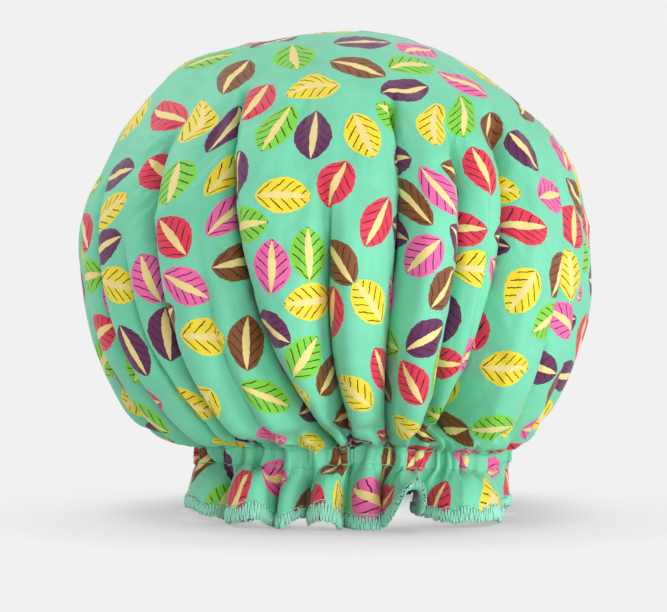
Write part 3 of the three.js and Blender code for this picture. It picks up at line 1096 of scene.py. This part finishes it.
# Where points of the cloth lie in the flat frame of a leaf at one arc and angle
def laid_flat(arc, angle, leaf_arc, leaf_angle):
    girth = np.interp(leaf_arc, row_arc, row_length) / TAU
    turned = wrapped(angle - leaf_angle) * girth / np.maximum(leaf_arc, 1.0)
    return arc * np.sin(turned), arc * np.cos(turned) - leaf_arc


# A leaf's own directions: along its middle line and to its side
def along_leaf(x, y, turn):
    return x * np.cos(turn) + y * np.sin(turn), y * np.cos(turn) - x * np.sin(turn)


def strewn_leaves():
    rng = np.random.default_rng(SEED + 40)
    weight = np.cumsum(row_length)
    arcs = np.interp(rng.uniform(0, 1, LEAF_TRIES), weight / weight[-1], row_arc)
    angles = rng.uniform(-math.pi, math.pi, LEAF_TRIES)
    turns = rng.uniform(0, TAU, LEAF_TRIES)
    tints = rng.integers(0, TINT_COUNT, LEAF_TRIES)
    reach = 0.5 * (LEAF_LENGTH - LEAF_WIDTH)
    kept = []
    for n in range(LEAF_TRIES):
        if kept:
            k = np.array(kept)
            x, y = laid_flat(arcs[k], angles[k], arcs[n], angles[n])
            far = x * x + y * y > (LEAF_COMPARED * LEAF_SPACING) ** 2
            gap = np.full(len(k), FAR_OFF)
            for a in (-1, 0, 1):
                for b in (-1, 0, 1):
                    dx = x + a * reach * np.cos(turns[k]) - b * reach * math.cos(turns[n])
                    dy = y + a * reach * np.sin(turns[k]) - b * reach * math.sin(turns[n])
                    gap = np.minimum(gap, np.hypot(dx, dy))
            if np.any(~far & (gap < LEAF_SPACING)):
                continue
            near = ~far & (gap < LEAF_NEAR * LEAF_SPACING)
            used = set(tints[k[near]].tolist())
            free = [c for c in range(TINT_COUNT) if c not in used]
            if free:
                tints[n] = free[int(tints[n]) % len(free)]
        kept.append(n)
    k = np.array(kept)
    return arcs[k], angles[k], turns[k], tints[k]


LEAF_ARC, LEAF_ANGLE, LEAF_TURN, LEAF_TINT = strewn_leaves()

# How far from their middle the flat cloth's texture coordinates reach
UV_REACH = 0.49


def face_values(mesh, name):
    values = np.empty(len(mesh.polygons), dtype=np.int32)
    mesh.polygons.foreach_get(name, values)
    return values


# Gives face corners their place in the nearest leaf and its tint, and points their place on the flat cloth
def print_on(mesh):
    shape = (len(row_arc), FINE_COLUMNS)
    arc = thinned(np.broadcast_to(row_arc[:, None], shape)[:, :, None])[:, 0]
    angle = thinned(np.broadcast_to(column_angle[None, :], shape)[:, :, None])[:, 0]
    flat = around(arc, angle)
    corner = np.empty(len(mesh.loops), dtype=np.int32)
    mesh.loops.foreach_get("vertex_index", corner)
    starts = face_values(mesh, "loop_start")
    sizes = face_values(mesh, "loop_total")
    middle = np.add.reduceat(flat[corner], starts) / sizes[:, None]
    face_arc = np.hypot(middle[:, 0], middle[:, 1])
    face_angle = azimuths(middle)
    best = np.full(len(starts), FAR_OFF)
    leaf = np.zeros(len(starts), dtype=int)
    for n in range(len(LEAF_ARC)):
        some = np.flatnonzero(np.abs(face_arc - LEAF_ARC[n]) < LEAF_SEARCH)
        x, y = laid_flat(face_arc[some], face_angle[some], LEAF_ARC[n], LEAF_ANGLE[n])
        along, side = along_leaf(x, y, LEAF_TURN[n])
        away = (along / LEAF_LENGTH) ** 2 + (side / LEAF_WIDTH) ** 2
        closer = away < best[some]
        best[some[closer]] = away[closer]
        leaf[some[closer]] = n
    of = np.repeat(leaf, sizes)
    x, y = laid_flat(arc[corner], angle[corner], LEAF_ARC[of], LEAF_ANGLE[of])
    along, side = along_leaf(x, y, LEAF_TURN[of])
    values = np.stack([along, side, (LEAF_TINT[of] + 0.5) / TINT_COUNT], 1)
    mesh.attributes.new("leaf", "FLOAT_VECTOR", "CORNER").data.foreach_set("vector", values.ravel())
    spread = mesh.attributes.new("flat", "FLOAT_VECTOR", "POINT")
    spread.data.foreach_set("vector", np.column_stack([flat, np.zeros(len(flat))]).ravel())
    uv = mesh.uv_layers.new(name="OFBake")
    uv.data.foreach_set("uv", (0.5 + UV_REACH * flat[corner] / TOTAL).ravel())


outer = mesh_object("outer_cloth", thinned(cloth) * MM, fine_faces)
lining = mesh_object("lining_film", thinned(film) * MM, [tuple(reversed(f)) for f in fine_faces])
for obj in (outer, lining):
    obj.data.shade_smooth()
    print_on(obj.data)

# The part of a noise's range that is used
NOISE_RANGE = (0.3, 0.7)


# Node building: each call adds one node, links or sets its inputs, and returns its output
class Graph:
    def __init__(self, name):
        self.material = bpy.data.materials.new(name)
        self.material.use_nodes = True
        self.nodes = self.material.node_tree.nodes
        self.links = self.material.node_tree.links
        self.shader = self.nodes["Principled BSDF"]

    def put(self, socket, value):
        if isinstance(value, bpy.types.NodeSocket):
            self.links.new(value, socket)
        else:
            socket.default_value = value

    def surface(self, name, value):
        self.put(self.shader.inputs[name], value)

    def math(self, operation, *values):
        node = self.nodes.new("ShaderNodeMath")
        node.operation = operation
        for socket, value in zip(node.inputs, values):
            self.put(socket, value)
        return node.outputs[0]

    def mix(self, factor, a, b, blend="MIX"):
        node = self.nodes.new("ShaderNodeMix")
        node.data_type = "RGBA"
        node.blend_type = blend
        self.put(node.inputs["Factor"], factor)
        self.put(node.inputs["A"], a)
        self.put(node.inputs["B"], b)
        return node.outputs["Result"]

    def attribute(self, name):
        node = self.nodes.new("ShaderNodeAttribute")
        node.attribute_name = name
        return node.outputs["Vector"]

    def split(self, vector):
        node = self.nodes.new("ShaderNodeSeparateXYZ")
        self.put(node.inputs[0], vector)
        return node.outputs

    def noise(self, vector, scale, detail=2.0):
        node = self.nodes.new("ShaderNodeTexNoise")
        self.put(node.inputs["Vector"], vector)
        node.inputs["Scale"].default_value = scale
        node.inputs["Detail"].default_value = detail
        return node.outputs["Fac"]

    def place(self):
        return self.nodes.new("ShaderNodeTexCoord").outputs["Object"]

    def spread(self, value, low, high, out_low, out_high):
        node = self.nodes.new("ShaderNodeMapRange")
        for socket, v in zip(node.inputs, (value, low, high, out_low, out_high)):
            self.put(socket, v)
        return node.outputs[0]

    def varied(self, vector, scale, low, high):
        return self.spread(self.noise(vector, scale), *NOISE_RANGE, low, high)

    def ramp(self, value, colours):
        node = self.nodes.new("ShaderNodeValToRGB")
        node.color_ramp.interpolation = "CONSTANT"
        elements = node.color_ramp.elements
        elements[1].position = 1 / len(colours)
        while len(elements) < len(colours):
            elements.new(len(elements) / len(colours))
        for element, colour in zip(elements, colours):
            element.color = colour
        self.put(node.inputs[0], value)
        return node.outputs[0]

    def bump(self, height, strength, distance):
        node = self.nodes.new("ShaderNodeBump")
        node.inputs["Strength"].default_value = strength
        node.inputs["Distance"].default_value = distance
        self.put(node.inputs["Height"], height)
        self.surface("Normal", node.outputs[0])


# A screen colour of 0 to 255 as Blender's linear one
def rgb(r, g, b):
    linear = [c / 255 / 12.92 if c <= 10 else ((c / 255 + 0.055) / 1.055) ** 2.4 for c in (r, g, b)]
    return (*linear, 1)


# The print's colours, and its drawing in millimetres: a leaf's fullness, its uneven edge, its rib and veins
GROUND = rgb(112, 206, 168)
LEAF_TINTS = [rgb(240, 214, 40), rgb(226, 48, 78), rgb(238, 98, 165), rgb(96, 30, 84), rgb(122, 206, 56),
              rgb(128, 70, 24)]
CREAM = rgb(238, 216, 140)
VEIN = rgb(44, 16, 22)
LEAF_FULLNESS = 0.72
EDGE_SCALE = 0.45
EDGE_WOBBLE = 1.6
EDGE_TRIM = 0.3
RIB_WIDTH = 1.7
RIB_WOBBLE = 0.6
VEIN_PITCH = 4.6
VEIN_SHARE = 0.075
VEIN_REACH = 0.84


# The printed colour from the leaf attribute: ground, blade, cream rib and dark veins
def leaf_print(g):
    along, side, tint = g.split(g.attribute("leaf"))
    away = g.math("ABSOLUTE", side)
    t = g.math("DIVIDE", along, LEAF_LENGTH / 2)
    body = g.math("SUBTRACT", 1.0, g.math("MULTIPLY", t, t))
    uneven = g.math("SUBTRACT", g.noise(g.attribute("leaf"), EDGE_SCALE), 0.5)
    wobble = g.math("MULTIPLY", uneven, EDGE_WOBBLE)
    full = g.math("POWER", g.math("MAXIMUM", body, 0.0), LEAF_FULLNESS)
    width = g.math("ADD", g.math("MULTIPLY", full, LEAF_WIDTH / 2), wobble)
    width = g.math("SUBTRACT", width, EDGE_TRIM)
    blade = g.math("GREATER_THAN", width, away)
    rib_width = g.math("ADD", g.math("MULTIPLY", body, RIB_WIDTH), g.math("MULTIPLY", wobble, RIB_WOBBLE))
    rib = g.math("GREATER_THAN", rib_width, away)
    slanted = g.math("ADD", g.math("SUBTRACT", along, away), wobble)
    chevron = g.math("FRACT", g.math("DIVIDE", slanted, VEIN_PITCH))
    line = g.math("LESS_THAN", g.math("ABSOLUTE", g.math("SUBTRACT", chevron, 0.5)), VEIN_SHARE)
    inner = g.math("GREATER_THAN", g.math("MULTIPLY", width, VEIN_REACH), away)
    vein = g.math("MULTIPLY", g.math("MULTIPLY", line, inner), g.math("SUBTRACT", 1.0, rib))
    colour = g.mix(vein, g.ramp(tint, LEAF_TINTS), VEIN)
    colour = g.mix(rib, colour, CREAM)
    return g.mix(blade, GROUND, colour)


# The weave in millimetres, and the shades that it and the cloth's blotches give
WEAVE_PITCH = 0.9
TWILL_PITCH = 1.3
WEAVE_SHADES = (0.93, 1.05)
BLOTCH_SHADES = (0.95, 1.05)
CRUMPLE_HEIGHT = 6.0


def fabric_material():
    g = Graph("printed_fabric")
    flat = g.attribute("flat")
    x, y, _ = g.split(flat)
    colour = leaf_print(g)
    warp = g.math("SINE", g.math("MULTIPLY", x, TAU / WEAVE_PITCH))
    weft = g.math("SINE", g.math("MULTIPLY", y, TAU / WEAVE_PITCH))
    twill = g.math("SINE", g.math("MULTIPLY", g.math("ADD", x, y), TAU / TWILL_PITCH))
    weave = g.math("ADD", g.math("MULTIPLY", warp, weft), twill)
    shade = g.spread(weave, -2.0, 2.0, *WEAVE_SHADES)
    tone = g.math("MULTIPLY", shade, g.varied(flat, 0.05, *BLOTCH_SHADES))
    g.surface("Base Color", g.mix(1.0, colour, tone, "MULTIPLY"))
    g.surface("Roughness", g.varied(flat, 0.4, 0.45, 0.6))
    g.surface("Specular IOR Level", 0.35)
    g.surface("Sheen Weight", 0.15)
    g.surface("Sheen Roughness", 0.5)
    crumple = g.math("MULTIPLY", g.noise(flat, 0.22, 3.0), CRUMPLE_HEIGHT)
    g.bump(g.math("ADD", crumple, weave), 0.35, 0.0001)
    return g.material


# Milky film, through which the print shows
def film_material():
    g = Graph("lining_film")
    flat = g.attribute("flat")
    veil = g.varied(flat, 0.08, 0.42, 0.58)
    g.surface("Base Color", g.mix(veil, leaf_print(g), rgb(226, 238, 232)))
    g.surface("Roughness", g.varied(flat, 0.3, 0.25, 0.4))
    g.bump(g.noise(flat, 0.3, 4.0), 0.3, 0.0005)
    return g.material


def thread_material(name, pale, deep, scale):
    g = Graph(name)
    place = g.place()
    g.surface("Base Color", g.mix(g.noise(place, scale), deep, pale))
    g.surface("Roughness", g.varied(place, scale * 2, 0.6, 0.85))
    g.surface("Sheen Weight", 0.2)
    g.bump(g.noise(place, scale * 3, 3.0), 0.6, 0.0002)
    return g.material


def elastic_material():
    g = Graph("elastic")
    place = g.place()
    g.surface("Base Color", g.mix(g.noise(place, 900), rgb(214, 210, 202), rgb(246, 244, 240)))
    g.surface("Roughness", g.varied(place, 600, 0.7, 0.9))
    g.bump(g.noise(place, 1500), 0.5, 0.0002)
    return g.material


FABRIC = fabric_material()
FILM = film_material()
THREAD = thread_material("thread", rgb(112, 210, 168), rgb(84, 184, 142), 1800)
OVERLOCK = thread_material("overlock_thread", rgb(190, 238, 222), rgb(98, 204, 170), 700)
ELASTIC = elastic_material()

# What every piece is: its material, the record's slot and the CAD node that it stands for
PIECES = [
    (outer, FABRIC, "printed_fabric", "outer_fabric"),
    (lining, FILM, "lining_film", "waterproof_lining"),
    (tape, ELASTIC, "elastic", "elastic_band"),
    (lap, THREAD, "thread", "elastic_lap_stitch"),
    (sewn["needle_stitches_upper"], THREAD, "thread", "channel_needle_thread_upper"),
    (sewn["needle_stitches_lower"], THREAD, "thread", "channel_needle_thread_lower"),
    (sewn["bobbin_stitches_upper"], THREAD, "thread", "channel_bobbin_thread_upper"),
    (sewn["bobbin_stitches_lower"], THREAD, "thread", "channel_bobbin_thread_lower"),
    (loops, OVERLOCK, "overlock_thread", "overlock_edging"),
    (needle, OVERLOCK, "overlock_thread", "overlock_needle_thread"),
]
for obj, material, slot, node in PIECES:
    obj.data.materials.append(material)
    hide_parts(node)
    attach(obj, "root")

# Floor and world: each floor shadow has a reach in metres, a depth and a lean of the light it keeps off
BACKGROUND = 0.879
FLOOR_GREY = 0.8
FLOOR_SHADOWS = [(0.05, 0.45, 0.0), (0.1, 0.3, 0.8)]
FLOOR_CORNERS = [(-6, -3, 0), (6, -3, 0), (6, 20, 0), (-6, 20, 0)]
WORLD_STRENGTH = 0.5


# Is 1 for the rays that see the backdrop: the camera's own, and those that gloss or film sends on
def shown_to(nodes, links):
    path = nodes.new("ShaderNodeLightPath")
    seen = path.outputs["Is Camera Ray"]
    for name in ("Is Glossy Ray", "Is Transmission Ray"):
        either = nodes.new("ShaderNodeMath")
        either.operation = "MAXIMUM"
        links.new(seen, either.inputs[0])
        links.new(path.outputs[name], either.inputs[1])
        seen = either.outputs[0]
    return seen


# Lights the object by one shader and shows the other as the backdrop
def backdrop(nodes, links, lighting, shown, surface):
    mix = nodes.new("ShaderNodeMixShader")
    links.new(shown_to(nodes, links), mix.inputs["Fac"])
    links.new(lighting.outputs[0], mix.inputs[1])
    links.new(shown.outputs[0], mix.inputs[2])
    links.new(mix.outputs[0], surface)


def grey(value):
    return (value, value, value, 1)


def floor_material():
    material = bpy.data.materials.new("floor")
    material.use_nodes = True
    nodes, links = material.node_tree.nodes, material.node_tree.links
    nodes.clear()
    out = nodes.new("ShaderNodeOutputMaterial")
    diffuse = nodes.new("ShaderNodeBsdfDiffuse")
    diffuse.inputs["Color"].default_value = grey(FLOOR_GREY)
    glow = nodes.new("ShaderNodeEmission")
    tone = None
    for reach, share, lean in FLOOR_SHADOWS:
        facing = nodes.new("ShaderNodeCombineXYZ")
        facing.inputs["Y"].default_value = math.sin(lean)
        facing.inputs["Z"].default_value = math.cos(lean)
        occlusion = nodes.new("ShaderNodeAmbientOcclusion")
        occlusion.inputs["Distance"].default_value = reach
        links.new(facing.outputs[0], occlusion.inputs["Normal"])
        shade = nodes.new("ShaderNodeMapRange")
        shade.inputs["To Min"].default_value = 1 - share
        links.new(occlusion.outputs["AO"], shade.inputs["Value"])
        product = nodes.new("ShaderNodeMath")
        product.operation = "MULTIPLY"
        product.inputs[1].default_value = BACKGROUND
        links.new(shade.outputs["Result"], product.inputs[0])
        if tone is not None:
            links.new(tone, product.inputs[1])
        tone = product.outputs[0]
    links.new(tone, glow.inputs["Color"])
    backdrop(nodes, links, diffuse, glow, out.inputs["Surface"])
    return material


def studio_world():
    world = bpy.data.worlds.new("studio")
    world.use_nodes = True
    nodes, links = world.node_tree.nodes, world.node_tree.links
    lighting = nodes["Background"]
    lighting.inputs["Color"].default_value = grey(1)
    lighting.inputs["Strength"].default_value = WORLD_STRENGTH
    shown = nodes.new("ShaderNodeBackground")
    shown.inputs["Color"].default_value = grey(BACKGROUND)
    backdrop(nodes, links, lighting, shown, nodes["World Output"].inputs["Surface"])
    return world


floor = mesh_object("floor", FLOOR_CORNERS, [(0, 1, 2, 3)])
floor.data.materials.append(floor_material())
bpy.context.scene.world = studio_world()

# Lamps: name, place and aim in metres, and watts
LAMPS = [
    ("key", (1.2, -0.75, 0.3), (0, 0, 0.08), 10.5),
    ("top", (-0.8, 0.2, 1.0), (0, 0, 0.15), 7),
    ("fill", (0.35, -1.3, 0.05), (0.02, 0, 0.03), 9.5),
]
LAMP_SIZE = 0.6


def lamp(name, place, aim, power):
    data = bpy.data.lights.new(name, "AREA")
    data.energy = power
    data.size = LAMP_SIZE
    obj = bpy.data.objects.new(name, data)
    obj.location = place
    obj.rotation_euler = (Vector(aim) - Vector(place)).to_track_quat("-Z", "Y").to_euler()
    bpy.context.scene.collection.objects.link(obj)


for name, place, aim, power in LAMPS:
    lamp(name, place, aim, power)

# Camera, in metres
ELEVATION = math.radians(4)
DISTANCE = 2.5
TARGET = Vector((CROWN_X * MM, 0, 0.0925))
FRAME_WIDTH = 0.299
SENSOR = 36
toward = Vector((0, -math.cos(ELEVATION), math.sin(ELEVATION)))
camera = bpy.data.objects.new("camera", bpy.data.cameras.new("camera"))
bpy.context.scene.collection.objects.link(camera)
camera.location = TARGET + toward * DISTANCE
camera.rotation_euler = (-toward).to_track_quat("-Z", "Y").to_euler()
camera.data.sensor_width = SENSOR
camera.data.lens = SENSOR * DISTANCE / FRAME_WIDTH
bpy.context.scene.camera = camera
bpy.context.scene.view_settings.view_transform = "Standard"
